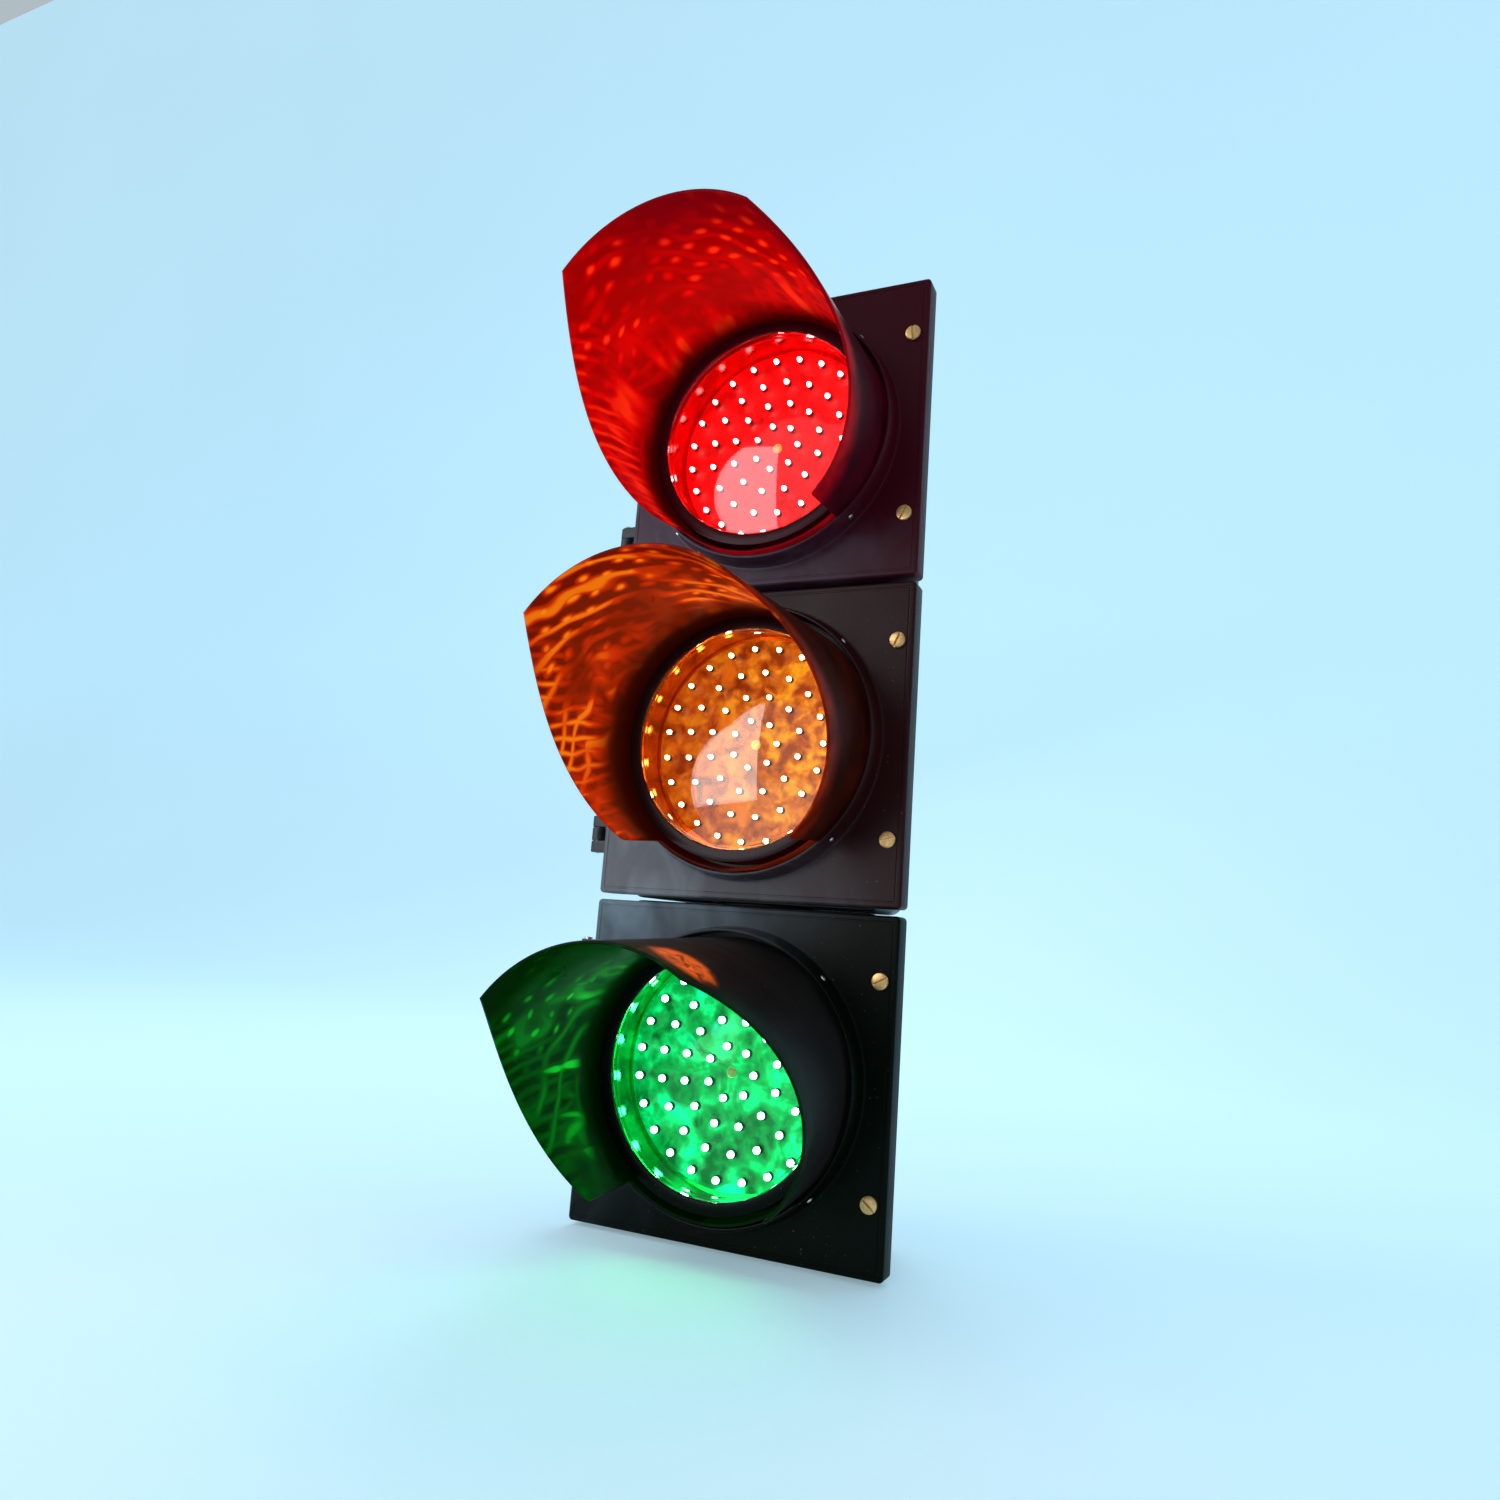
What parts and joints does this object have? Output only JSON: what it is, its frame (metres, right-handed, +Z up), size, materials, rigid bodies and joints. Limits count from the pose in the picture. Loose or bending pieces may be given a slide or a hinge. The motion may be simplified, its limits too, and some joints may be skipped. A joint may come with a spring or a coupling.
{
  "type": "traffic signal head",
  "caption": "Vertical traffic signal head with stacked lamp housings, hinged doors, cutaway visors and LED lenses.",
  "frame": {"origin": "centre of the bottom bracket face, on the axis of the coupling tubes", "axes": "+Z up the stack, -Y the way the lamps face, +X towards the screw side of the doors, with the hinges at -X"},
  "size_m": [0.3208, 0.36, 0.8976],
  "materials": {
    "case": "moulded black polycarbonate, satin, dusty",
    "door": "moulded black polycarbonate, satin sheen with smears",
    "visor": "moulded black polycarbonate, semi-matt",
    "rubber_seal": "matt black rubber",
    "brass": "dull tan-gold brass, slotted",
    "zinc_steel": "zinc plated steel",
    "reflector": "bright spun aluminium",
    "driver_case": "moulded dark grey plastic",
    "terminal": "ivory plastic",
    "wire": "sleeved cable",
    "lens_red": "tinted red clear polycarbonate",
    "lens_amber": "tinted amber clear polycarbonate",
    "lens_green": "tinted green clear polycarbonate",
    "lamp_red": "circuit board with lit red light-emitting diodes",
    "lamp_amber": "circuit board with lit amber light-emitting diodes",
    "lamp_green": "circuit board with lit green light-emitting diodes"
  },
  "bodies": {
    "housing_stack": {"housing_green": "case", "door_gasket_green": "rubber_seal", "light_cup_green": "reflector", "led_board_green": "lamp_green", "board_screw_green": "brass", "lamp_bracket_green": "zinc_steel", "led_driver_green": "driver_case", "hinge_pin_green_upper": "zinc_steel", "hinge_pin_green_lower": "zinc_steel", "housing_amber": "case", "door_gasket_amber": "rubber_seal", "light_cup_amber": "reflector", "led_board_amber": "lamp_amber", "board_screw_amber": "brass", "lamp_bracket_amber": "zinc_steel", "led_driver_amber": "driver_case", "hinge_pin_amber_upper": "zinc_steel", "hinge_pin_amber_lower": "zinc_steel", "housing_red": "case", "door_gasket_red": "rubber_seal", "light_cup_red": "reflector", "led_board_red": "lamp_red", "board_screw_red": "brass", "lamp_bracket_red": "zinc_steel", "led_driver_red": "driver_case", "hinge_pin_red_upper": "zinc_steel", "hinge_pin_red_lower": "zinc_steel", "coupling_tube_lower": "zinc_steel", "coupling_nut_lower": "zinc_steel", "coupling_seal_lower": "rubber_seal", "coupling_tube_upper": "zinc_steel", "coupling_nut_upper": "zinc_steel", "coupling_seal_upper": "rubber_seal", "top_plug": "case", "top_plug_nut": "case", "terminal_block": "terminal", "lead_green": "wire", "lead_amber": "wire", "lead_red": "wire"},
    "door_assembly_green": {"door_green": "door", "visor_green": "visor", "lens_green": "lens_green", "lens_gasket_green": "rubber_seal", "lens_retaining_ring_green": "case"},
    "door_assembly_amber": {"door_amber": "door", "visor_amber": "visor", "lens_amber": "lens_amber", "lens_gasket_amber": "rubber_seal", "lens_retaining_ring_amber": "case"},
    "door_assembly_red": {"door_red": "door", "visor_red": "visor", "lens_red": "lens_red", "lens_gasket_red": "rubber_seal", "lens_retaining_ring_red": "case"},
    "latch_screw_green_upper": {"door_screw_green_upper": "brass"},
    "latch_screw_green_lower": {"door_screw_green_lower": "brass"},
    "latch_screw_amber_upper": {"door_screw_amber_upper": "brass"},
    "latch_screw_amber_lower": {"door_screw_amber_lower": "brass"},
    "latch_screw_red_upper": {"door_screw_red_upper": "brass"},
    "latch_screw_red_lower": {"door_screw_red_lower": "brass"}
  },
  "joints": [
    {"name": "door_swing_green", "type": "hinge", "parent": "housing_stack", "child": "door_assembly_green", "pos_m": [-0.161, -0.061, 0.1488], "axis": [0, 0, -1], "range_deg": [0, 105]},
    {"name": "door_swing_amber", "type": "hinge", "parent": "housing_stack", "child": "door_assembly_amber", "pos_m": [-0.161, -0.061, 0.4488], "axis": [0, 0, -1], "range_deg": [0, 105]},
    {"name": "door_swing_red", "type": "hinge", "parent": "housing_stack", "child": "door_assembly_red", "pos_m": [-0.161, -0.061, 0.7488], "axis": [0, 0, -1], "range_deg": [0, 105]},
    {"name": "screw_turn_green_upper", "type": "hinge", "parent": "door_assembly_green", "child": "latch_screw_green_upper", "pos_m": [0.139, -0.072, 0.2403], "axis": [0, 1, 0], "continuous": true},
    {"name": "screw_turn_green_lower", "type": "hinge", "parent": "door_assembly_green", "child": "latch_screw_green_lower", "pos_m": [0.139, -0.072, 0.0608], "axis": [0, 1, 0], "continuous": true},
    {"name": "screw_turn_amber_upper", "type": "hinge", "parent": "door_assembly_amber", "child": "latch_screw_amber_upper", "pos_m": [0.139, -0.072, 0.5403], "axis": [0, 1, 0], "continuous": true},
    {"name": "screw_turn_amber_lower", "type": "hinge", "parent": "door_assembly_amber", "child": "latch_screw_amber_lower", "pos_m": [0.139, -0.072, 0.3608], "axis": [0, 1, 0], "continuous": true},
    {"name": "screw_turn_red_upper", "type": "hinge", "parent": "door_assembly_red", "child": "latch_screw_red_upper", "pos_m": [0.139, -0.072, 0.8403], "axis": [0, 1, 0], "continuous": true},
    {"name": "screw_turn_red_lower", "type": "hinge", "parent": "door_assembly_red", "child": "latch_screw_red_lower", "pos_m": [0.139, -0.072, 0.6608], "axis": [0, 1, 0], "continuous": true}
  ]
}
